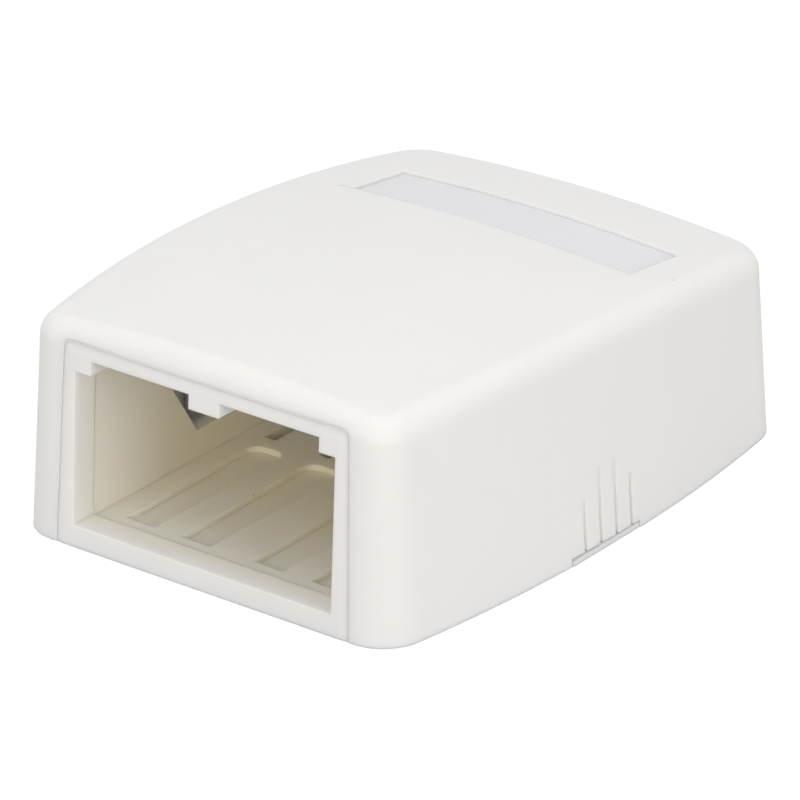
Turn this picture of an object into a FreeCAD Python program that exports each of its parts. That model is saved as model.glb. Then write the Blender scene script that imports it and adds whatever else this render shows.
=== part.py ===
"""Surface mount jack box for two keystone-size jack modules.

A base moulding with a flush front bezel, a domed cover that snaps down over it, and a
paper label held under a clear window in the cover's roof.  Millimetres throughout.

Every piece is drawn with the foot of its front face on y = 0, x across and z up from the
wall or desk that the box is fixed to.  Each Body's Placement then moves it back by half
the depth, so that the finished part stands on the middle of its own footprint.
"""
import FreeCAD, Part
import math
import os
import re

import Sketcher
from FreeCAD import Vector

SIZES = {
    # opening for two jack modules side by side
    "jack_pitch": 14.7,
    "sill": 2.1,
    "lug_foot": 17.03,
    "opening_head": 18.43,
    "corner_lug": 1.82,
    "centre_lug": 3.4,
    # plan of the cover at its foot: three bowed sides and a straight front
    "front_cheek": 4.3,
    "rear_flare": 0.55,
    "side_depth": 59.8,
    "side_bow": 2.67,
    "rear_bow": 0.5,
    "front_corner": 4.4,
    "rear_corner": 5.6,
    # side view: walls drafted inwards, roof a shallow spherical dome
    "draft": 3.4,
    "dome_radius": 220.0,
    "dome_top": 22.43,
    "dome_from_front": 18.7,
    "roof_edge_radius": 2.3,
    "cover_wall": 1.6,
    # front bezel, part of the base
    "bezel_stile": 1.95,
    "bezel_narrowing": 0.6,
    "bezel_height": 19.8,
    "bezel_corner": 0.8,
    "bezel_depth": 2.9,
    "bezel_gap": 0.08,
    "bezel_bevel": 0.95,
    "bezel_bevel_fall": 0.1,
    "flange_gap": 0.18,
    "flange_reach": 1.2,
    "flange_height": 18.8,
    # jack bay behind the opening
    "bay_clearance": 0.15,
    "bay_wall": 1.5,
    "wall_overlap": 0.5,
    "bay_wall_height": 18.0,
    "slope_start": 9.8,
    "slope_end": 18.2,
    "rim_wall_height": 4.55,
    "rim_wall_end": 37.0,
    # floor plate, a little lower than the sill, and the sunk channels under each jack
    "plate_thickness": 1.8,
    "plate_gap": 0.25,
    "channel_pitch": 6.5,
    "channel_width": 3.3,
    "channel_flare": 0.25,
    "channel_from_bezel": 1.85,
    "channel_end": 23.6,
    "channel_depth": 0.6,
    "channel_corner": 1.3,
    # what is cut through the floor plate
    "tie_slot_width": 1.35,
    "tie_slot_length": 5.0,
    "tie_slot_start": 25.3,
    "tie_slot_inset": 2.6,
    "tie_slot_pitch": 6.4,
    "screw_spacing": 27.0,
    "screw_from_front": 41.0,
    "screw_slot_width": 4.2,
    "screw_slot_length": 6.8,
    "cable_hole_width": 14.0,
    "cable_hole_length": 12.0,
    "cable_hole_start": 40.0,
    "cable_hole_corner": 2.5,
    # snap catches half way along the sides, with a pry notch and grip grooves outside
    "catch_from_front": 29.2,
    "catch_width": 9.0,
    "catch_height": 6.2,
    "catch_thickness": 1.3,
    "catch_gap": 0.3,
    "window_width": 7.4,
    "window_foot": 2.6,
    "window_head": 4.1,
    "bead_clearance": 0.2,
    "bead_bite": 0.6,
    "bead_flat": 0.5,
    "pry_from_front": 28.8,
    "pry_width": 10.2,
    "pry_height": 0.75,
    "ledge_height": 0.5,
    "ledge_inset": 0.1,
    "groove_pitch": 2.3,
    "groove_width": 0.45,
    "groove_depth": 0.55,
    "long_groove": 8.1,
    "short_groove": 5.8,
    # label pocket in the roof
    "pocket_front": 41.15,
    "pocket_rear": 49.05,
    "pocket_length": 32.1,
    "pocket_centre": 1.25,
    "pocket_depth": 0.55,
    "nail_notch_length": 1.5,
    "nail_notch_width": 0.5,
    "nail_notch_depth": 0.15,
    "label_gap": 0.12,
    "strip_thickness": 0.2,
    "window_lift": 0.03,
    "window_thickness": 0.15,
    # breakout panel for a cable raceway in the rear wall
    "breakout_width": 19.0,
    "breakout_height": 10.0,
    "breakout_groove": 1.0,
    "breakout_depth": 1.0,
    # tabs that steady the rear wall of the cover
    "tab_spacing": 26.0,
    "tab_width": 6.0,
    "tab_height": 6.0,
    "tab_thickness": 1.4,
}

# Sizes that follow from the ones above: the circles that the bowed walls lie on.
WORKED = {
    "bezel_half": "jack_pitch + bezel_stile",
    "bezel_half_head": "bezel_half - bezel_narrowing",
    "half_front": "bezel_half + front_cheek",
    "half_rear": "half_front + rear_flare",
    "side_chord": "sqrt(side_depth ^ 2 + rear_flare ^ 2)",
    "side_radius": "(side_chord ^ 2 / 4 + side_bow ^ 2) / (2 * side_bow)",
    "side_centre_x": "(half_front + half_rear) / 2 - (side_radius - side_bow) * side_depth / side_chord",
    "side_centre_y": "side_depth / 2 + (side_radius - side_bow) * rear_flare / side_chord",
    "rear_radius": "(half_rear ^ 2 + rear_bow ^ 2) / (2 * rear_bow)",
    "rear_centre_y": "side_depth + rear_bow - rear_radius",
    "box_depth": "side_depth + rear_bow",
    "mid_half_width": "side_centre_x + side_radius",
    "bay_half_width": "jack_pitch + bay_clearance",
    "wall_in": "cover_wall + plate_gap",
    "channel_start": "bezel_depth + channel_from_bezel",
    "tie_slot_outer": "jack_pitch - tie_slot_inset",
}

doc = FreeCAD.newDocument("SurfaceMountJackBox")


def sheet_name(word):
    """The sheet that holds the size called word, or None for any other word."""
    if word in SIZES:
        return "Sizes"
    if word in WORKED:
        return "Worked"
    return None


def bound(formula):
    """A formula in plain names, with each name pointed at its cell."""
    def point(match):
        sheet = sheet_name(match.group())
        return f"{sheet}.{match.group()}" if sheet else match.group()
    return re.sub(r"[a-z_]+", point, formula)


def fill_sheet(name, cells):
    """One row to a size: its name in column A, its value in column B under that alias."""
    sheet = doc.addObject("Spreadsheet::Sheet", name)
    for row, (alias, text) in enumerate(cells, start=1):
        sheet.set(f"A{row}", alias)
        sheet.set(f"B{row}", text)
        sheet.setAlias(f"B{row}", alias)
        doc.recompute()
    return sheet


fill_sheet("Sizes", [(alias, str(value)) for alias, value in SIZES.items()])
fill_sheet("Worked", [(alias, "=" + bound(formula).replace("Worked.", ""))
                      for alias, formula in WORKED.items()])


def value(formula):
    """A formula's number now, to start a sketch near its solved form."""
    return float(doc.Sizes.evalExpression(bound(formula).replace("Sizes.", "")))


# ---------------------------------------------------------------- sketches

def new_body(label):
    """A piece drawn from the front face, placed so that the box stands on its middle."""
    body = doc.addObject("PartDesign::Body", label)
    body.Label = label
    body.setExpression("Placement.Base.y", bound("-box_depth / 2"))
    return body


def origin_plane(body, role):
    return next(feature for feature in body.Origin.OriginFeatures if feature.Role == role)


def new_sketch(body, name, role, right="0", up="0", out="0", tilt="0"):
    """A sketch on one of the body's origin planes, shifted in and out of that plane and
    tilted about its own x axis."""
    sketch = body.newObject("Sketcher::SketchObject", name)
    sketch.AttachmentSupport = [(origin_plane(body, role), "")]
    sketch.MapMode = "FlatFace"
    sketch.AttachmentOffset = FreeCAD.Placement(Vector(0, 0, 0), FreeCAD.Rotation(Vector(1, 0, 0), 1))
    sketch.setExpression("AttachmentOffset.Base.x", bound(right))
    sketch.setExpression("AttachmentOffset.Base.y", bound(up))
    sketch.setExpression("AttachmentOffset.Base.z", bound(out))
    sketch.setExpression("AttachmentOffset.Rotation.Angle", bound(tilt))
    return sketch


def hold(sketch, kind, *where, formula):
    """A driving dimension whose value is a formula of the sheet's sizes."""
    index = sketch.addConstraint(Sketcher.Constraint(kind, *where, value(formula)))
    sketch.setExpression(f"Constraints[{index}]", bound(formula))


def hold_point(sketch, line, end, x, y):
    hold(sketch, "DistanceX", -1, 1, line, end, formula=x)
    hold(sketch, "DistanceY", -1, 1, line, end, formula=y)


def polygon(sketch, corners):
    """A closed outline of straight lines through corners given as pairs of formulas."""
    points = [Vector(value(x), value(y), 0) for x, y in corners]
    lines = []
    for start, end in zip(points, points[1:] + points[:1]):
        lines.append(sketch.addGeometry(Part.LineSegment(start, end)))
    for line, following in zip(lines, lines[1:] + lines[:1]):
        sketch.addConstraint(Sketcher.Constraint("Coincident", line, 2, following, 1))
    for line, (x, y) in zip(lines, corners):
        hold_point(sketch, line, 1, x, y)


def rectangle(sketch, left, right, low, high):
    polygon(sketch, [(left, low), (right, low), (right, high), (left, high)])


def arc(sketch, centre, radius, start, end):
    """An anticlockwise arc between two points, its centre and radius held by formulas."""
    middle = Vector(value(centre[0]), value(centre[1]), 0)
    angles = [math.atan2(p.y - middle.y, p.x - middle.x) for p in (start, end)]
    circle = Part.Circle(middle, Vector(0, 0, 1), value(radius))
    index = sketch.addGeometry(Part.ArcOfCircle(circle, *angles))
    hold_point(sketch, index, 3, *centre)
    hold(sketch, "Radius", index, formula=radius)
    return index


def plan_outline(sketch, inset):
    """The bowed plan at the foot with its corners round, drawn in by an inset all round."""
    step = value(inset)
    half_front, half_rear = value("half_front") - step, value("half_rear") - step
    rear = value("side_depth") - step
    front_left, front_right = Vector(-half_front, step, 0), Vector(half_front, step, 0)
    rear_left, rear_right = Vector(-half_rear, rear, 0), Vector(half_rear, rear, 0)
    front = sketch.addGeometry(Part.LineSegment(front_left, front_right))
    side_radius = f"side_radius - ({inset})"
    right = arc(sketch, ("side_centre_x", "side_centre_y"), side_radius, front_right, rear_right)
    back = arc(sketch, ("0", "rear_centre_y"), f"rear_radius - ({inset})", rear_right, rear_left)
    left = arc(sketch, ("-side_centre_x", "side_centre_y"), side_radius, rear_left, front_left)
    for edge, following, corner, radius in ((front, right, front_right, "front_corner"),
                                            (right, back, rear_right, "rear_corner"),
                                            (back, left, rear_left, "rear_corner"),
                                            (left, front, front_left, "front_corner")):
        radius = f"{radius} - ({inset})"
        sketch.fillet(edge, following, corner, corner, value(radius), True)
        hold(sketch, "Radius", sketch.GeometryCount - 1, formula=radius)
    sketch.addConstraint(Sketcher.Constraint("Horizontal", front))
    hold(sketch, "DistanceY", -1, 1, front, 1, formula=inset)


def gate(sketch, foot, head, top, corner, low):
    """A tapered outline with its two top corners round.  foot and head are its half widths
    at the sketch's x axis and at its top, and its sides run on down to a level low."""
    lean = f"atan(({foot} - ({head})) / ({top}))"
    trim = f"({corner}) * tan(45 deg - {lean} / 2)"
    spread = f"({foot}) - ({low}) * tan({lean})"
    arc_x, arc_y = f"{head} - {trim}", f"{top} - ({corner})"
    side = Vector(value(f"{head} + {trim} * sin({lean})"), value(f"{top} - {trim} * cos({lean})"), 0)
    peak = Vector(value(arc_x), value(top), 0)
    base = Vector(value(spread), value(low), 0)
    left_side, left_peak, left_base = (Vector(-p.x, p.y, 0) for p in (side, peak, base))
    right_line = sketch.addGeometry(Part.LineSegment(base, side))
    right_arc = arc(sketch, (arc_x, arc_y), corner, side, peak)
    top_line = sketch.addGeometry(Part.LineSegment(peak, left_peak))
    left_arc = arc(sketch, (f"-({arc_x})", arc_y), corner, left_peak, left_side)
    left_line = sketch.addGeometry(Part.LineSegment(left_side, left_base))
    foot_line = sketch.addGeometry(Part.LineSegment(left_base, base))
    for first, second in ((right_line, right_arc), (right_arc, top_line),
                          (top_line, left_arc), (left_arc, left_line)):
        sketch.addConstraint(Sketcher.Constraint("Tangent", first, 2, second, 1))
    sketch.addConstraint(Sketcher.Constraint("Coincident", left_line, 2, foot_line, 1))
    sketch.addConstraint(Sketcher.Constraint("Coincident", foot_line, 2, right_line, 1))
    hold_point(sketch, foot_line, 1, f"-({spread})", low)
    hold_point(sketch, foot_line, 2, spread, low)


def slot(sketch, centre_x, centre_y, length, width):
    """A round-ended slot that runs along the sketch's x axis."""
    travel = f"(({length}) - ({width})) / 2"
    x, y, half = value(centre_x), value(centre_y), value(width) / 2
    reach = value(travel)
    straights = []
    for side in (-1, 1):
        start = Vector(x + side * reach, y + side * half, 0)
        end = Vector(x - side * reach, y + side * half, 0)
        straights.append(sketch.addGeometry(Part.LineSegment(start, end)))
    low, high = straights
    ends = []
    for side, quarter in ((1, -90), (-1, 90)):
        circle = Part.Circle(Vector(x + side * reach, y, 0), Vector(0, 0, 1), half)
        angles = math.radians(quarter), math.radians(quarter + 180)
        ends.append(sketch.addGeometry(Part.ArcOfCircle(circle, *angles)))
    right, left = ends
    for first, first_end, second, second_end in ((low, 2, right, 1), (right, 2, high, 1),
                                                 (high, 2, left, 1), (left, 2, low, 1)):
        sketch.addConstraint(Sketcher.Constraint("Tangent", first, first_end, second, second_end))
    sketch.addConstraint(Sketcher.Constraint("Equal", right, left))
    hold(sketch, "Radius", right, formula=f"({width}) / 2")
    hold_point(sketch, right, 3, f"{centre_x} + {travel}", centre_y)
    hold_point(sketch, left, 3, f"{centre_x} - {travel}", centre_y)


def dome_sketch(body, name, tilt="0"):
    """A lengthwise upright sketch whose origin is the centre of the roof's sphere."""
    return new_sketch(body, name, "YZ_Plane", "dome_from_front", "dome_top - dome_radius", tilt=tilt)


def dome_band(sketch, low, high, near, far):
    """The band between two circles about the sphere's centre, cut off square at two
    distances from the box's front."""
    ends = {"near": f"{near} - dome_from_front", "far": f"{far} - dome_from_front"}
    arcs = []
    for radius in (low, high):
        points = []
        for end in ("far", "near"):
            x = value(ends[end])
            points.append(Vector(x, math.sqrt(value(radius) ** 2 - x ** 2), 0))
        index = sketch.addGeometry(Part.ArcOfCircle(
            Part.Circle(Vector(0, 0, 0), Vector(0, 0, 1), value(radius)),
            *[math.atan2(point.y, point.x) for point in points]))
        sketch.addConstraint(Sketcher.Constraint("Coincident", index, 3, -1, 1))
        hold(sketch, "Radius", index, formula=radius)
        hold(sketch, "DistanceX", -1, 1, index, 1, formula=ends["far"])
        hold(sketch, "DistanceX", -1, 1, index, 2, formula=ends["near"])
        arcs.append((index, points))
    (low_arc, low_points), (high_arc, high_points) = arcs
    for end in (0, 1):
        side = sketch.addGeometry(Part.LineSegment(low_points[end], high_points[end]))
        sketch.addConstraint(Sketcher.Constraint("Coincident", side, 1, low_arc, end + 1))
        sketch.addConstraint(Sketcher.Constraint("Coincident", side, 2, high_arc, end + 1))


# ---------------------------------------------------------------- features

def extrude(kind, sketch, name, length, reverse=False, centred=False):
    """A Pad or Pocket of a sketch.  A Pocket cuts against the sketch's normal."""
    body = sketch.getParentGeoFeatureGroup()
    feature = body.newObject(f"PartDesign::{kind}", name)
    feature.Profile = sketch
    feature.Reversed = reverse
    feature.setExpression("Length", bound(length))
    if centred:
        feature.SideType = "Symmetric"
    sketch.Visibility = False
    doc.recompute()
    return feature


def draft_walls(pad):
    """The pad with all its side faces leaning inwards from the ground plane up."""
    body = pad.getParentGeoFeatureGroup()
    lean = body.newObject("PartDesign::Draft", f"{pad.Label}Draft")
    tall = value("plate_thickness / 2")
    faces = enumerate(pad.Shape.Faces, start=1)
    lean.Base = (pad, [f"Face{i}" for i, face in faces if face.BoundBox.ZLength > tall])
    lean.NeutralPlane = (origin_plane(body, "XY_Plane"), [""])
    lean.setExpression("Angle", bound("draft"))
    doc.recompute()
    return lean


def sweep_about_dome(kind, sketch, name, arc_length):
    """A Revolution or Groove about the lengthwise axis through the sphere's centre, as
    wide as arc_length along the roof and evenly to both sides of the sketch."""
    body = sketch.getParentGeoFeatureGroup()
    feature = body.newObject(f"PartDesign::{kind}", name)
    feature.Profile = sketch
    feature.ReferenceAxis = (sketch, ["H_Axis"])
    feature.Midplane = True
    feature.setExpression("Angle", bound(f"({arc_length}) / dome_radius * 180 / pi"))
    doc.recompute()
    return feature


def mirror(feature, name):
    """The feature again on the other side of the box's middle plane."""
    body = feature.getParentGeoFeatureGroup()
    copy = body.newObject("PartDesign::Mirrored", name)
    copy.Originals = [feature]
    copy.MirrorPlane = (origin_plane(body, "YZ_Plane"), [""])
    body.Tip = copy
    doc.recompute()
    return copy


def edges_where(feature, test):
    return [f"Edge{i}" for i, edge in enumerate(feature.Shape.Edges, start=1) if test(edge)]


def cut_body(body, name, tool):
    """The body less another body that was drawn from the same front face."""
    cut = body.newObject("PartDesign::Boolean", name)
    cut.setObjects([tool])
    cut.Type = "Cut"
    body.Tip = cut
    doc.recompute()
    return cut


def round_edges(feature, name, radius, test):
    """A fillet on the feature's edges that pass a test of place."""
    body = feature.getParentGeoFeatureGroup()
    fillet = body.newObject("PartDesign::Fillet", name)
    fillet.Base = (feature, edges_where(feature, test))
    fillet.setExpression("Radius", bound(radius))
    doc.recompute()
    return fillet


def domed_block(body, inset):
    """The box's outer form drawn in by an inset: the plan, its walls drafted and its roof
    a dome."""
    outline = new_sketch(body, "Outline", "XY_Plane")
    plan_outline(outline, inset)
    draft_walls(extrude("Pad", outline, "Block", "dome_top + 2"))
    dome = dome_sketch(body, "DomeSketch")
    dome_band(dome, f"dome_radius - ({inset})", "dome_radius + 20", "-10", "side_depth + 10")
    return sweep_about_dome("Groove", dome, "Dome", "4 * half_rear")


# ---------------------------------------------------------------- cover

def side_sketch(body, name, depth):
    """An upright lengthwise sketch that lies a depth behind the foot of the right side
    wall's outer face, half way along the box."""
    return new_sketch(body, name, "YZ_Plane", out=f"mid_half_width - ({depth})")


def cut_bezel_notch(body):
    """The opening in the front wall that the base's bezel fills, open at the foot."""
    notch = new_sketch(body, "BezelNotchSketch", "XZ_Plane")
    gate(notch, "bezel_half + bezel_gap", "bezel_half_head + bezel_gap",
         "bezel_height + bezel_gap", "bezel_corner + bezel_gap", "-1")
    extrude("Pocket", notch, "BezelNotch", "bezel_depth + bezel_gap + bezel_height * tan(draft)")


def cut_label_pocket(body):
    """The sunk bed of the label, with a thick back under it and a nail notch at its end."""
    tilt = "asin(pocket_centre / dome_radius)"
    back = dome_sketch(body, "LabelBackSketch", tilt)
    dome_band(back, "dome_radius - cover_wall - pocket_depth", "dome_radius - cover_wall / 2",
              "pocket_front - cover_wall", "pocket_rear + cover_wall")
    sweep_about_dome("Revolution", back, "LabelBack", "pocket_length + 2 * cover_wall")
    pocket = dome_sketch(body, "LabelPocketSketch", tilt)
    dome_band(pocket, "dome_radius - pocket_depth", "dome_radius + 5", "pocket_front", "pocket_rear")
    sweep_about_dome("Groove", pocket, "LabelPocket", "pocket_length")
    notch = dome_sketch(body, "NailNotchSketch",
                        "asin((pocket_centre - pocket_length / 2) / dome_radius)")
    dome_band(notch, "dome_radius - nail_notch_depth", "dome_radius + 5",
              "pocket_front", "pocket_front + nail_notch_width")
    sweep_about_dome("Groove", notch, "NailNotch", "2 * nail_notch_length")


def cut_grip(body):
    """Four grip grooves on each side, and the pry notch under them.  The grooves are upright
    while the wall leans in, so that they run out towards their tops."""
    grooves = side_sketch(body, "GripSketch", "groove_depth")
    for step, height in ((-1.5, "short_groove"), (-0.5, "long_groove"),
                         (0.5, "long_groove"), (1.5, "short_groove")):
        middle = f"catch_from_front + {step} * groove_pitch"
        rectangle(grooves, f"{middle} - groove_width / 2", f"{middle} + groove_width / 2", "-1", height)
    grooves = extrude("Pocket", grooves, "GripGrooves", "2 * groove_depth", reverse=True)
    mirror(grooves, "GripGroovesLeft")
    notch = side_sketch(body, "PrySketch", "2 * cover_wall")
    rectangle(notch, "pry_from_front - pry_width / 2", "pry_from_front + pry_width / 2", "-1", "pry_height")
    notch = extrude("Pocket", notch, "PryNotch", "3 * cover_wall", reverse=True)
    mirror(notch, "PryNotchLeft")


def add_snap_beads(body):
    """A ramped bead inside each side wall, which snaps into the window of a catch."""
    wall = "mid_half_width - cover_wall"
    bead = new_sketch(body, "BeadSketch", "XZ_Plane", out="-catch_from_front")
    foot, head = "window_foot + bead_clearance", "window_head - bead_clearance"
    tip = f"{wall} - catch_gap - bead_bite - catch_height * tan(draft)"
    polygon(bead, [(wall, foot), (tip, f"{head} - bead_flat"), (tip, head), (wall, head)])
    bead = extrude("Pad", bead, "Bead", "window_width - 2 * bead_clearance", centred=True)
    mirror(bead, "BeadLeft")


def cut_breakout(body):
    """A groove inside the rear wall round the panel that breaks out for a raceway."""
    inside = "side_depth + rear_bow - cover_wall"
    ring = new_sketch(body, "BreakoutSketch", "XZ_Plane",
                      out=f"-({inside}) - breakout_depth", tilt="draft")
    half, top = "breakout_width / 2", "breakout_height"
    inner, lower = f"{half} - breakout_groove", f"{top} - breakout_groove"
    polygon(ring, [(f"-({half})", "-1"), (f"-({inner})", "-1"), (f"-({inner})", lower), (inner, lower),
                   (inner, "-1"), (half, "-1"), (half, top), (f"-({half})", top)])
    extrude("Pocket", ring, "Breakout", "3 * breakout_depth", reverse=True)


def make_cover():
    body = new_body("cover")
    block = domed_block(body, "0")
    round_edges(block, "RoofEdge", "roof_edge_radius",
                lambda edge: edge.BoundBox.ZMin > value("dome_top / 2"))
    cavity = doc.addObject("PartDesign::Body", "cover_cavity")
    domed_block(cavity, "cover_wall")
    cut_body(body, "Shell", cavity)
    cut_bezel_notch(body)
    cut_label_pocket(body)
    cut_grip(body)
    add_snap_beads(body)
    cut_breakout(body)
    return body


# ---------------------------------------------------------------- label

def make_label_sheet(name, low, high, length):
    """A thin sheet bent to the roof's curve, between two depths below it."""
    body = new_body(name)
    tilt = "asin(pocket_centre / dome_radius)"
    sheet = dome_sketch(body, "SheetSketch", tilt)
    dome_band(sheet, f"dome_radius - ({low})", f"dome_radius - ({high})",
              "pocket_front + label_gap", "pocket_rear - label_gap")
    sweep_about_dome("Revolution", sheet, "Sheet", length)
    return body


# ---------------------------------------------------------------- base

def leaning_sketch(body, name, depth):
    """A cross sketch that leans back with the front face and lies a depth behind it."""
    return new_sketch(body, name, "XZ_Plane", up=f"-({depth}) * sin(draft)",
                      out=f"-({depth}) * cos(draft)", tilt="-draft")


def add_bezel(body):
    """The front panel, flush with the cover's face and faintly bevelled along its edge, with
    a flange behind the cover's wall."""
    rim = leaning_sketch(body, "BezelRimSketch", "bezel_bevel_fall")
    gate(rim, "bezel_half", "bezel_half_head", "bezel_height", "bezel_corner", "-1")
    extrude("Pad", rim, "Bezel", "bezel_depth - bezel_bevel_fall", reverse=True)
    face = leaning_sketch(body, "BezelFaceSketch", "0")
    gate(face, "bezel_half - bezel_bevel", "bezel_half_head - bezel_bevel",
         "bezel_height - bezel_bevel", "bezel_corner / 2", "-1")
    bevel = body.newObject("PartDesign::AdditiveLoft", "BezelBevel")
    bevel.Profile = rim
    bevel.Sections = [face]
    bevel.Ruled = True
    doc.recompute()
    behind = "cover_wall + flange_gap"
    flange = leaning_sketch(body, "FlangeSketch", behind)
    gate(flange, "bezel_half + flange_reach", "bezel_half_head + flange_reach",
         "flange_height", "bezel_corner", "-1")
    extrude("Pad", flange, "Flange", f"bezel_depth - ({behind})", reverse=True)
    below = new_sketch(body, "BelowSketch", "XY_Plane")
    rectangle(below, "-2 * half_front", "2 * half_front", "-5", "bezel_depth + 5")
    extrude("Pocket", below, "TrimBelow", "5")


def add_floor(body):
    """The floor plate, which fits inside the foot of the cover's walls."""
    floor = new_sketch(body, "FloorSketch", "XY_Plane")
    plan_outline(floor, "wall_in")
    draft_walls(extrude("Pad", floor, "Floor", "plate_thickness"))


def cut_opening(body):
    """The jack opening, notched round one lug in each top corner and one in the middle."""
    half, lug, centre = "jack_pitch", "corner_lug", "centre_lug / 2"
    right = [(half, "sill"), (half, "lug_foot"), (f"{half} - {lug}", "lug_foot"),
             (f"{half} - {lug}", "opening_head"), (centre, "opening_head"), (centre, "lug_foot")]
    left = [(f"-({x})", y) for x, y in reversed(right)]
    opening = new_sketch(body, "OpeningSketch", "XZ_Plane")
    polygon(opening, right + left)
    extrude("Pocket", opening, "Opening", "bezel_depth + 2")


def add_bay_walls(body):
    """The walls beside the jacks, which lean back with the bezel in front and fall at a
    slope to a low wire guard behind."""
    wall = new_sketch(body, "BayWallSketch", "YZ_Plane", out="bay_half_width")
    near = "bezel_depth - wall_overlap"
    polygon(wall, [(near, "plate_thickness / 2"), ("rim_wall_end", "plate_thickness / 2"),
                   ("rim_wall_end", "rim_wall_height"), ("slope_end", "rim_wall_height"),
                   ("slope_start", "bay_wall_height"),
                   (f"{near} + bay_wall_height * tan(draft)", "bay_wall_height")])
    wall = extrude("Pad", wall, "BayWall", "bay_wall")
    mirror(wall, "BayWallLeft")


def cut_channels(body):
    """Two shallow channels under each jack, a little wider and round at their rear ends."""
    channels = new_sketch(body, "ChannelSketch", "XY_Plane", out="plate_thickness")
    for bay in (-0.5, 0.5):
        for side in (-0.5, 0.5):
            middle = f"{bay} * jack_pitch + {side} * channel_pitch"
            polygon(channels, [(f"{middle} - channel_width / 2", "channel_start"),
                               (f"{middle} + channel_width / 2", "channel_start"),
                               (f"{middle} + channel_width / 2 + channel_flare", "channel_end"),
                               (f"{middle} - channel_width / 2 - channel_flare", "channel_end")])
    channels = extrude("Pocket", channels, "Channels", "channel_depth")
    round_edges(channels, "ChannelEnds", "channel_corner",
                lambda edge: abs(edge.BoundBox.ZLength - value("channel_depth")) < 0.01
                and abs(edge.CenterOfMass.y - value("channel_end")) < 0.01)


def cut_floor_holes(body):
    """Tie slots behind the jacks, two screw slots and the hole where the cables come in."""
    ties = new_sketch(body, "TieSlotSketch", "XY_Plane")
    for side in (-1, 1):
        for inner in (0, 1):
            middle = f"{side} * (tie_slot_outer - {inner} * tie_slot_pitch)"
            rectangle(ties, f"{middle} - tie_slot_width / 2", f"{middle} + tie_slot_width / 2",
                      "tie_slot_start", "tie_slot_start + tie_slot_length")
    extrude("Pocket", ties, "TieSlots", "3 * plate_thickness", centred=True)
    screws = new_sketch(body, "ScrewSlotSketch", "XY_Plane")
    for side in (-1, 1):
        slot(screws, f"{side} * screw_spacing / 2", "screw_from_front",
             "screw_slot_length", "screw_slot_width")
    extrude("Pocket", screws, "ScrewSlots", "3 * plate_thickness", centred=True)
    cable = new_sketch(body, "CableHoleSketch", "XY_Plane")
    rectangle(cable, "-cable_hole_width / 2", "cable_hole_width / 2",
              "cable_hole_start", "cable_hole_start + cable_hole_length")
    cable = extrude("Pocket", cable, "CableHole", "3 * plate_thickness", centred=True)
    near, far = value("cable_hole_start"), value("cable_hole_start + cable_hole_length")
    round_edges(cable, "CableHoleCorners", "cable_hole_corner",
                lambda edge: abs(edge.BoundBox.ZLength - value("plate_thickness")) < 0.01
                and abs(abs(edge.CenterOfMass.x) - value("cable_hole_width / 2")) < 0.01
                and min(abs(edge.CenterOfMass.y - near), abs(edge.CenterOfMass.y - far)) < 0.01)


def add_catches(body):
    """A springy tab at each side, with the window that holds the cover's bead."""
    outer = "mid_half_width - cover_wall - catch_gap - catch_height * tan(draft)"
    tab = new_sketch(body, "CatchSketch", "YZ_Plane", out=f"{outer} - catch_thickness")
    rectangle(tab, "catch_from_front - catch_width / 2", "catch_from_front + catch_width / 2",
              "plate_thickness / 2", "catch_height")
    tab = extrude("Pad", tab, "Catch", "catch_thickness")
    mirror(tab, "CatchLeft")
    window = new_sketch(body, "WindowSketch", "YZ_Plane", out=f"{outer} + catch_thickness")
    rectangle(window, "catch_from_front - window_width / 2", "catch_from_front + window_width / 2",
              "window_foot", "window_head")
    window = extrude("Pocket", window, "CatchWindow", "3 * catch_thickness")
    mirror(window, "CatchWindowLeft")


def add_pry_ledges(body):
    """A ledge at each side that all but fills the cover's pry notch."""
    ledge = new_sketch(body, "LedgeSketch", "XY_Plane")
    half = "pry_width / 2 - ledge_inset"
    rectangle(ledge, "mid_half_width - 2 * cover_wall", "mid_half_width - ledge_inset",
              f"pry_from_front - ({half})", f"pry_from_front + {half}")
    ledge = extrude("Pad", ledge, "Ledge", "ledge_height")
    mirror(ledge, "LedgeLeft")


def add_rear_tabs(body):
    """Two upright tabs that the cover's rear wall stands against."""
    tabs = new_sketch(body, "RearTabSketch", "XY_Plane", out="plate_thickness / 2")
    face = "side_depth - cover_wall - plate_gap - tab_height * tan(draft)"
    for side in (-1, 1):
        middle = f"{side} * tab_spacing / 2"
        rectangle(tabs, f"{middle} - tab_width / 2", f"{middle} + tab_width / 2",
                  f"{face} - tab_thickness", face)
    extrude("Pad", tabs, "RearTabs", "tab_height - plate_thickness / 2")


def make_base():
    body = new_body("base")
    add_floor(body)
    add_bezel(body)
    cut_opening(body)
    add_bay_walls(body)
    cut_channels(body)
    cut_floor_holes(body)
    add_catches(body)
    add_pry_ledges(body)
    add_rear_tabs(body)
    return body


# ---------------------------------------------------------------- build and write

pieces = [
    make_base(),
    make_cover(),
    make_label_sheet("label_strip", "pocket_depth", "pocket_depth - strip_thickness",
                     "pocket_length - 2 * label_gap"),
    make_label_sheet("label_window", "pocket_depth - strip_thickness - window_lift",
                     "pocket_depth - strip_thickness - window_lift - window_thickness",
                     "pocket_length"),
]
doc.recompute()
failed = [item.Name for item in doc.Objects if {"Invalid", "Error"} & set(item.State)]
if failed:
    raise RuntimeError(f"these objects did not compute: {failed}")
os.makedirs("parts", exist_ok=True)
for piece in pieces:
    if piece.Shape.isNull() or not piece.Shape.isValid() or len(piece.Shape.Solids) != 1:
        raise RuntimeError(f"{piece.Label} is not one valid solid")
for piece in pieces:
    piece.Shape.exportStep(os.path.join("parts", f"{piece.Label}.step"))
    print(piece.Label, round(piece.Shape.Volume), "mm3", piece.Shape.optimalBoundingBox())
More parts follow.
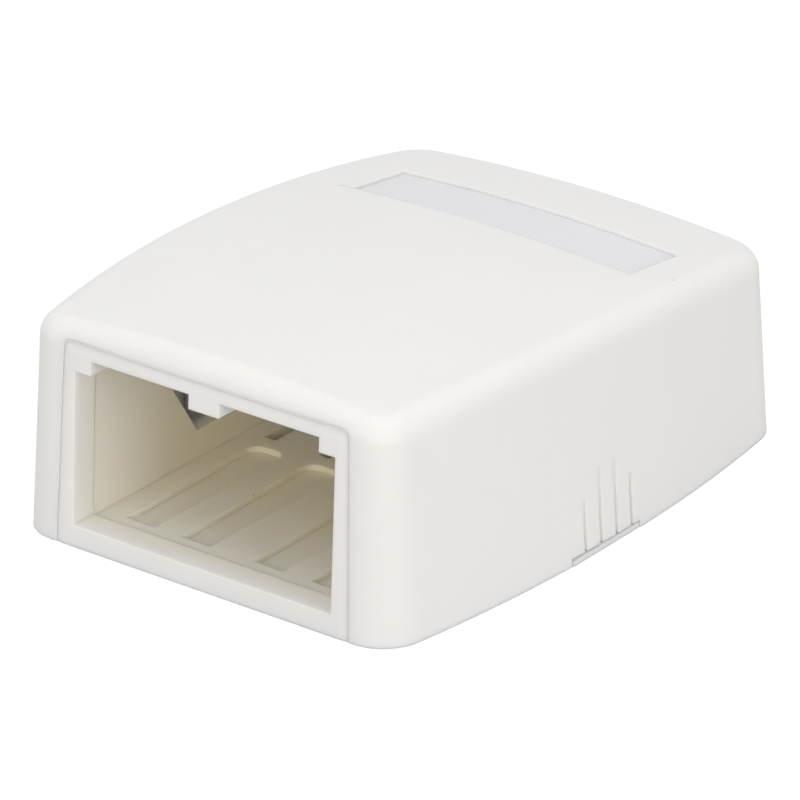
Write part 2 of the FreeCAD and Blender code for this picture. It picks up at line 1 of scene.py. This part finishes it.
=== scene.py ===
# %% [markdown]
# # A surface mount jack box
#
# This lesson dresses a small plastic box that holds two data jacks on a wall or a desk.
# Its shape comes ready made as a fixed frame: a base with the jack opening, a domed cover
# and a label under a clear window. What is left to do here is what Blender is good at,
# which is the look of moulded plastic, paper and clear film, and the light that shows it.

# %% Load the frame
import math

import bpy
from mathutils import Matrix, Vector


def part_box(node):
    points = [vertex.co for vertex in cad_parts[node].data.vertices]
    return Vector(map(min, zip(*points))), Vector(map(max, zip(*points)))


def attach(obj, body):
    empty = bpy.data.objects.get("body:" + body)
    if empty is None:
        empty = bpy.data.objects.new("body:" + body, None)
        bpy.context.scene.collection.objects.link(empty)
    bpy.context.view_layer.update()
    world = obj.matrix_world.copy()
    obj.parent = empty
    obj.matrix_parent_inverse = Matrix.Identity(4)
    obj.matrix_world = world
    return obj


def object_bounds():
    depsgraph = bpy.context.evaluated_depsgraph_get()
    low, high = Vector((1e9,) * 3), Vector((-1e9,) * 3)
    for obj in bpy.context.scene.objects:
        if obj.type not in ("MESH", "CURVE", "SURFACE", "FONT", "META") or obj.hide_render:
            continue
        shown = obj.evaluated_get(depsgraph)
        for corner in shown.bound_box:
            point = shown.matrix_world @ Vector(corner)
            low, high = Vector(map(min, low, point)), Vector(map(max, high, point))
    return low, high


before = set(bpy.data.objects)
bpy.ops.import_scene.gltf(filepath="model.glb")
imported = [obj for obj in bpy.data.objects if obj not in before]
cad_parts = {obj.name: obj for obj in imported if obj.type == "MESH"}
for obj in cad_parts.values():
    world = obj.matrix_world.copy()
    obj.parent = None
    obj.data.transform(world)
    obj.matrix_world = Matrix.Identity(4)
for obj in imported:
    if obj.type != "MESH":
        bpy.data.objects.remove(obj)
frame_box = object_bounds()
MM = 0.001
print("nodes:", sorted(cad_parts))

# %% [markdown]
# ## The camera
#
# A product camera stands well back with a long lens, so that the box hardly tapers with
# distance. Its place is worked out from the direction it looks in: a turn about the
# vertical, a tilt down, a distance, and the point in the middle of the box it looks at.
# Building the camera's three axes by hand keeps the small roll exact.

# %% Place the camera
turn, tilt, roll = (math.radians(angle) for angle in (37.63, 25.34, -0.34))
distance = 636 * MM
aim = Vector((0, -0.15, 10)) * MM
look = Vector((
    -math.sin(turn) * math.cos(tilt),
    math.cos(turn) * math.cos(tilt),
    -math.sin(tilt),
))
level = Vector((math.cos(turn), math.sin(turn), 0))
upright = level.cross(look)
right = math.cos(roll) * level + math.sin(roll) * upright
up = -math.sin(roll) * level + math.cos(roll) * upright
shift_right, shift_up = -0.39, -2.35  # mm, which set where the box stands in the picture
place = aim + shift_right * MM * right + shift_up * MM * up - distance * look

camera_data = bpy.data.cameras.new("product_camera")
camera_data.lens = 313.5
camera_data.sensor_width = 36
camera_data.clip_end = 20
camera = bpy.data.objects.new("product_camera", camera_data)
camera.matrix_world = Matrix((
    (right.x, up.x, -look.x, place.x),
    (right.y, up.y, -look.y, place.y),
    (right.z, up.z, -look.z, place.z),
    (0, 0, 0, 1),
))
bpy.context.scene.collection.objects.link(camera)
bpy.context.scene.camera = camera
print("camera at", [round(value, 3) for value in place])

# %% [markdown]
# ## Helpers for materials
#
# Colours are picked as the hex values that a screen shows. A shader wants linear light, so
# one function turns the one into the other. Another adds a node, sets its sockets and wires
# what feeds it, so that each material below reads as a short recipe. The rest start a
# material, finish it, and turn a size in millimetres into the scale of a pattern.

# %% Colour and node helpers
def linear(hex_colour):
    """A screen colour such as "EEEDEB" as the linear red, green, blue, alpha of a shader."""
    channels = [int(hex_colour[i:i + 2], 16) / 255 for i in (0, 2, 4)]
    light = [c / 12.92 if c <= 0.04045 else ((c + 0.055) / 1.055) ** 2.4 for c in channels]
    return light + [1.0]


def add(material, kind, settings=None, **inputs):
    """Add a node. settings are its own properties; inputs are values, or outputs to link.

    An input is named with _ for a space, or by its number, as _0, where names repeat.
    """
    node = material.node_tree.nodes.new(kind)
    for name, value in (settings or {}).items():
        setattr(node, name, value)
    for name, value in inputs.items():
        key = int(name[1:]) if name[0] == "_" else name.replace("_", " ")
        socket = node.inputs[key]
        if isinstance(value, bpy.types.NodeSocket):
            material.node_tree.links.new(value, socket)
        else:
            socket.default_value = value
    return node


def new_material(name):
    """An empty node material, with the Object coordinates that every pattern here reads."""
    material = bpy.data.materials.new(name)
    material.use_nodes = True
    material.node_tree.nodes.clear()
    coordinates = add(material, "ShaderNodeTexCoord").outputs["Object"]
    return material, coordinates


def finish_material(material, shader):
    """Wire the shader to the material's output."""
    add(material, "ShaderNodeOutputMaterial", Surface=shader.outputs[0])
    print("material", material.name, "has", len(material.node_tree.nodes), "nodes")


def per_mm(size):
    """The scale of a noise whose features are about size millimetres across."""
    return 1000 / size


# %% [markdown]
# ## Spark-eroded ABS
#
# The mouldings are ABS with a fine satin texture that spark erosion leaves on the mould.
# It scatters highlights into a soft sheen, so the box has no sharp reflections at all.
# Two noises do that: a fine one as bump, and a broad one that drifts the colour by a
# hair, as pigment and flow do. The real texture's pits are some hundredths of a
# millimetre across, too fine to show here, so it is drawn at about a fifth of a
# millimetre. A few specks of dust and dark resin complete it. The Bevel node rounds the
# look of every edge by a tenth of a millimetre, as a mould does, without touching the
# mesh.
#
# White ABS is not quite opaque. Some light soaks into it before it comes out again, and
# red reaches further than blue. Subsurface scattering gives that soft, slightly warm look.
#
# Inside the box the light goes from wall to wall many times, and each bounce swallows a
# little blue, so a white plastic looks cream there and olive further in. A renderer stops
# after a few bounces, so the rest of that bounce-light tint is painted into the colour by
# the depth behind the front face, which leans back a little as it rises. It is painted
# bounce light, not a colour of the plastic. It is kept to the jack bay in the base, and the
# cover and everything outside stay white. The cost is that the painted tint stays when the
# cover is lifted, and the open bay still looks cream.

# %% Paint the bounce light's tint into the inside by its depth
front_foot = frame_box[0][1]
face_lean = math.tan(math.radians(3.4))
mid_wall = 15.6 * MM  # half way through the bay's side walls, from the middle of the box
tint_floor = 0.6 * MM  # the tint stays above this, so that the underside is white
tint_starts = (0.3, 2.5)  # depths in mm between which each change takes place
tint_deepens = (2, 20)
tint_ends = (24, 36)


def painted_bounce_tone(material, coordinates, outside, mouth, deep):
    """The base's colour outside, with painted bounce-light tints: mouth just inside the opening
    and deep further in.
    """
    def maths(operation, first, second=0.0):
        node = add(material, "ShaderNodeMath", {"operation": operation}, _0=first, _1=second)
        return node.outputs[0]

    place = add(material, "ShaderNodeSeparateXYZ", Vector=coordinates)
    lean = maths("MULTIPLY", place.outputs["Z"], face_lean)
    depth = maths("SUBTRACT", place.outputs["Y"], lean)

    def between(low, high, **ends):
        """0 to 1 from one depth in mm to another, or as ends says."""
        node = add(material, "ShaderNodeMapRange", {"interpolation_type": "SMOOTHSTEP"},
                   Value=depth, From_Min=front_foot + low * MM, From_Max=front_foot + high * MM,
                   **ends)
        return node.outputs[0]

    beside = maths("LESS_THAN", maths("ABSOLUTE", place.outputs["X"]), mid_wall)
    above = maths("GREATER_THAN", place.outputs["Z"], tint_floor)
    mask = between(*tint_starts)
    for part in (between(*tint_ends, To_Min=1.0, To_Max=0.0), beside, above):
        mask = maths("MULTIPLY", mask, part)
    # painted bounce light: the mouth tint near the opening turns to the deep tint further in
    cream = add(material, "ShaderNodeMix", {"data_type": "RGBA"}, _0=between(*tint_deepens),
                _6=linear(mouth), _7=linear(deep))
    tone = add(material, "ShaderNodeMix", {"data_type": "RGBA"}, _0=mask,
               _6=linear(outside), _7=cream.outputs[2])
    return tone.outputs[2]


print("the front foot is at y", round(front_foot / MM, 2), "mm")
print("the face leans back", round(face_lean, 4), "mm for each mm up")

# %% Make the ABS
def moulded_abs(name, colour, specks, reach, bay=None):
    """Satin ABS. reach is how far light soaks in, in mm; bay holds the painted bounce-light tints
    in the bay.
    """
    material, coordinates = new_material(name)
    tone = painted_bounce_tone(material, coordinates, colour, *bay) if bay else linear(colour)
    drift = add(material, "ShaderNodeTexNoise", Vector=coordinates, Scale=per_mm(9), Detail=3.0)
    drift_range = add(material, "ShaderNodeMapRange", Value=drift.outputs["Fac"],
                      From_Min=0.35, From_Max=0.65, To_Min=0.985, To_Max=1.0)
    drifted = add(material, "ShaderNodeMix", {"data_type": "RGBA", "blend_type": "MULTIPLY"},
                  _0=1.0, _6=tone, _7=drift_range.outputs[0])
    # One speck at the middle of a cell, in less than half of the cells.
    cells = add(material, "ShaderNodeTexVoronoi", Vector=coordinates, Scale=per_mm(5.5))
    speck = add(material, "ShaderNodeMapRange", Value=cells.outputs["Distance"],
                From_Min=0.012, From_Max=0.03, To_Min=1.0, To_Max=0.0)
    pick = add(material, "ShaderNodeSeparateColor", Color=cells.outputs["Color"])
    rare = add(material, "ShaderNodeMath", {"operation": "GREATER_THAN"},
               _0=pick.outputs[0], _1=0.55)
    dot = add(material, "ShaderNodeMath", {"operation": "MULTIPLY"},
              _0=speck.outputs[0], _1=rare.outputs[0])
    dotted = add(material, "ShaderNodeMix", {"data_type": "RGBA"}, _0=dot.outputs[0],
                 _6=drifted.outputs[2], _7=linear(specks))
    grain = add(material, "ShaderNodeTexNoise", Vector=coordinates, Scale=per_mm(0.22), Detail=2.0)
    edges = add(material, "ShaderNodeBevel", {"samples": 4}, Radius=0.12 * MM)
    bump = add(material, "ShaderNodeBump", Height=grain.outputs["Fac"], Distance=0.012 * MM,
               Strength=1.0, Normal=edges.outputs[0])
    plastic = add(material, "ShaderNodeBsdfPrincipled", Base_Color=dotted.outputs[2],
                  Roughness=0.55, IOR=1.53, Normal=bump.outputs[0], Subsurface_Weight=1.0,
                  Subsurface_Radius=(1.0, 0.95, 0.88), Subsurface_Scale=reach * MM)
    finish_material(material, plastic)
    return material


cover_abs = moulded_abs("cover_satin_abs", "E9E8E5", "B5B0A6", 0.7)
# The base's bay gets painted bounce light: cream at the mouth, a warmer yellow further in.
base_abs = moulded_abs("base_satin_abs", "E9E8E5", "A8A294", 0.8, bay=("EDE9D9", "F1E3C0"))

# %% [markdown]
# ## The lip in the bezel's seam
#
# The base's bezel stands in a notch of the cover. Moulded parts like these meet edge to
# edge, so the seam is a faint grey line and not a black slot. The frame leaves the play that
# lets the cover lift, and a lip that all but fills it, just behind the face, closes the
# seam to the eye. It follows the bezel's rim, so it starts from a copy of the rim's own
# faces, cut to a band, moved off the rim by a hair and given a thickness. The real box has
# no such piece: it stands for the close fit of the real mouldings. Its colour is painted
# lighter than the ABS, as painted light that makes up for the shade in the narrow seam.

# %% Copy the rim's faces
rim_inner = 15.2 * MM  # the rim's sides lie further out than this
rim_top = 19 * MM  # and its top lies higher than this
lip = bpy.data.objects.new("bezel_seam_lip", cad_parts["base"].data.copy())
bpy.context.scene.collection.objects.link(lip)
bpy.ops.object.select_all(action="DESELECT")
lip.select_set(True)
bpy.context.view_layer.objects.active = lip


def depth_behind_face(point):
    """How far a point lies behind the leaning front face, in metres."""
    return point.y - front_foot - point.z * face_lean


def on_rim(face):
    """True for a face of the bezel's outer rim: it starts at the front and looks outwards."""
    nearest = min(depth_behind_face(lip.data.vertices[i].co) for i in face.vertices)
    aside = face.center.x * face.normal.x > 0 and abs(face.center.x) > rim_inner
    above = face.normal.z > 0.5 and face.center.z > rim_top
    return nearest < 0.2 * MM and abs(face.normal.y) < 0.35 and (aside or above)


rim = [on_rim(face) for face in lip.data.polygons]
bpy.ops.object.mode_set(mode="EDIT")
bpy.ops.mesh.select_mode(type="FACE")
bpy.ops.mesh.select_all(action="DESELECT")
bpy.ops.object.mode_set(mode="OBJECT")
lip.data.polygons.foreach_set("select", [not kept for kept in rim])
bpy.ops.object.mode_set(mode="EDIT")
bpy.ops.mesh.delete(type="FACE")
bpy.ops.mesh.select_all(action="SELECT")
bpy.ops.mesh.remove_doubles(threshold=0.001 * MM)
print("the rim has", sum(rim), "faces")

# %% Cut it to a band and thicken it
lean_normal = (0, math.cos(math.atan(face_lean)), -math.sin(math.atan(face_lean)))
band_front = (0, front_foot + 0.13 * MM, 0)
band_back = (0, front_foot + 0.7 * MM, 0)
bpy.ops.mesh.select_all(action="SELECT")
bpy.ops.mesh.bisect(plane_co=band_front, plane_no=lean_normal, clear_inner=True)
bpy.ops.mesh.select_all(action="SELECT")
bpy.ops.mesh.bisect(plane_co=band_back, plane_no=lean_normal, clear_outer=True)
bpy.ops.object.mode_set(mode="OBJECT")
# The hair's breadth and the thickness together stay inside the seam's 0.08 mm of play.
off_rim = lip.modifiers.new("off_rim", "DISPLACE")
off_rim.strength = 0.004 * MM
off_rim.mid_level = 0
thickness = lip.modifiers.new("thickness", "SOLIDIFY")
thickness.thickness = 0.07 * MM
thickness.offset = 1
for modifier in ("off_rim", "thickness"):
    bpy.ops.object.modifier_apply(modifier=modifier)
lip.data.materials.clear()
# The lip's colour is painted lighter than the ABS round it: painted light against the shade in the
# seam.
lip_lightened_abs, _ = new_material("seam_matt_abs")
lip_plastic = add(lip_lightened_abs, "ShaderNodeBsdfPrincipled", Base_Color=linear("F6F5F3"),
                  Roughness=0.6, IOR=1.53)
finish_material(lip_lightened_abs, lip_plastic)
lip.data.materials.append(lip_lightened_abs)
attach(lip, "base")
widest = max(abs(vertex.co.x) for vertex in lip.data.vertices)
print("the lip has", len(lip.data.polygons), "faces")
print("it reaches", round(widest / MM, 3), "mm to each side")

# %% [markdown]
# ## Label paper and its window
#
# The label is bright paper, a touch bluer than the plastic round it because white paper
# holds optical brightener. It stops just over a millimetre short of each end, where its
# carrier shows as white as the box. A sheet of clear satin film lies over it. The film is
# thin, so it needs no real refraction: an alpha lets the paper show and a soft gloss
# stays on top.

# %% Make the paper and the film
label_low, label_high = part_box("label_strip")
label_middle = (label_low[0] + label_high[0]) / 2
label_half = (label_high[0] - label_low[0]) / 2
bare_end = 1.15 * MM
print("the strip is", round(2 * label_half / MM, 1), "mm long")


def label_paper():
    """Bright paper with a faint cloud of fibres, and bare ends."""
    material, coordinates = new_material("label_bright_paper")
    fibres = add(material, "ShaderNodeTexNoise", Vector=coordinates, Scale=per_mm(0.3), Detail=4.0)
    tone = add(material, "ShaderNodeMix", {"data_type": "RGBA"}, _0=fibres.outputs["Fac"],
               _6=linear("F6F3F8"), _7=linear("F1EEF4"))
    place = add(material, "ShaderNodeSeparateXYZ", Vector=coordinates)
    across = add(material, "ShaderNodeMath", {"operation": "SUBTRACT"},
                 _0=place.outputs["X"], _1=label_middle)
    from_middle = add(material, "ShaderNodeMath", {"operation": "ABSOLUTE"}, _0=across.outputs[0])
    past_end = add(material, "ShaderNodeMath", {"operation": "GREATER_THAN"},
                   _0=from_middle.outputs[0], _1=label_half - bare_end)
    ended = add(material, "ShaderNodeMix", {"data_type": "RGBA"}, _0=past_end.outputs[0],
                _6=tone.outputs[2], _7=linear("F1F0ED"))
    bump = add(material, "ShaderNodeBump", Height=fibres.outputs["Fac"], Distance=0.006 * MM)
    paper = add(material, "ShaderNodeBsdfPrincipled", Base_Color=ended.outputs[2],
                Roughness=0.85, IOR=1.5, Normal=bump.outputs[0])
    finish_material(material, paper)
    return material


def clear_film():
    """Clear satin film that lets the paper show by its alpha."""
    material, coordinates = new_material("label_clear_polyester")
    haze = add(material, "ShaderNodeTexNoise", Vector=coordinates, Scale=per_mm(4), Detail=2.0)
    bump = add(material, "ShaderNodeBump", Height=haze.outputs["Fac"], Distance=0.01 * MM)
    film = add(material, "ShaderNodeBsdfPrincipled", Base_Color=linear("F2F2F5"), Roughness=0.25,
               IOR=1.57, Alpha=0.3, Normal=bump.outputs[0])
    finish_material(material, film)
    return material


finishes = {
    "base": base_abs,
    "cover": cover_abs,
    "label_strip": label_paper(),
    "label_window": clear_film(),
}
for node, finish in finishes.items():
    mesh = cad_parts[node].data
    mesh.materials.clear()
    mesh.materials.append(finish)
print("finished", len(finishes), "nodes")

# %% [markdown]
# ## Floor and light
#
# Catalogue pictures of white goods are shot on a pale table and then cut out on white, so
# that the form is drawn by small steps of grey and there is no shadow to see. A floor does
# both: it sends back the light of a pale grey table, and looks plain white itself. It lies
# a hair below the box, so that the two don't share a plane.
#
# A soft sky fills in from everywhere. A broad lamp high up behind keeps the roof the
# brightest face. A smaller one, high and just in front, reaches a few millimetres into the
# bay and draws its bright sill. Two low ones, at the front and the front right, go all the
# way in, and one from the right lifts the long side.

# %% Floor
bpy.ops.object.select_all(action="DESELECT")
below_box = -0.02 * MM
bpy.ops.mesh.primitive_plane_add(size=6, location=(0, 0, below_box))
floor = bpy.context.object
floor.name = "studio_floor"
floor_sheet, _ = new_material("pale_studio_floor")
table = add(floor_sheet, "ShaderNodeBsdfDiffuse", Color=linear("C8C8C8"))
white = add(floor_sheet, "ShaderNodeEmission", Color=linear("FFFFFF"), Strength=1.05)
seen = add(floor_sheet, "ShaderNodeLightPath").outputs["Is Camera Ray"]
table_or_white = add(floor_sheet, "ShaderNodeMixShader", _0=seen, _1=table.outputs[0],
                     _2=white.outputs[0])
finish_material(floor_sheet, table_or_white)
floor.data.materials.append(floor_sheet)

# %% Light
world = bpy.data.worlds.new("soft_white_room")
bpy.context.scene.world = world
world.use_nodes = True
sky = world.node_tree.nodes["Background"]
sky.inputs["Color"].default_value = linear("FFFFFF")
sky.inputs["Strength"].default_value = 0.52
lamp_target = Vector((0, 0, 0.01))  # about the middle of the box


def soft_lamp(name, place, size, power, colour="FFFFFF"):
    """A square area lamp that looks at the box; power is in watts."""
    data = bpy.data.lights.new(name, "AREA")
    data.size = size
    data.energy = power
    data.color = linear(colour)[:3]
    lamp = bpy.data.objects.new(name, data)
    lamp.location = place
    aimed = (lamp_target - lamp.location).to_track_quat("-Z", "Y")
    lamp.rotation_euler = aimed.to_euler()
    bpy.context.scene.collection.objects.link(lamp)
    print(name, "is", round(lamp.location.length, 2), "m away")


soft_lamp("top_softbox", Vector((-0.2, 0.1, 0.9)), 0.8, 3.0)
soft_lamp("key_softbox", Vector((0, -0.26, 0.9)), 0.4, 0.55)
soft_lamp("front_softbox", Vector((0.05, -0.95, 0.3)), 0.5, 1.5, "FFFBF8")
soft_lamp("front_right_softbox", Vector((0.5, -0.75, 0.3)), 0.5, 1.1, "FFFBF8")
soft_lamp("right_softbox", Vector((0.88, -0.22, 0.25)), 0.4, 2.45, "FFFCFB")

# %% [markdown]
# ## Exposure
#
# White plastic on white needs the plain Standard transform, which keeps paper white at
# full white. Film and most cameras lift the shadows and hold the lights back, and a gamma
# a little over one does the same.

# %% Set the view transform
view = bpy.context.scene.view_settings
view.view_transform = "Standard"
view.look = "None"
view.gamma = 1.3
print("view transform", view.view_transform, "with gamma", round(view.gamma, 2))
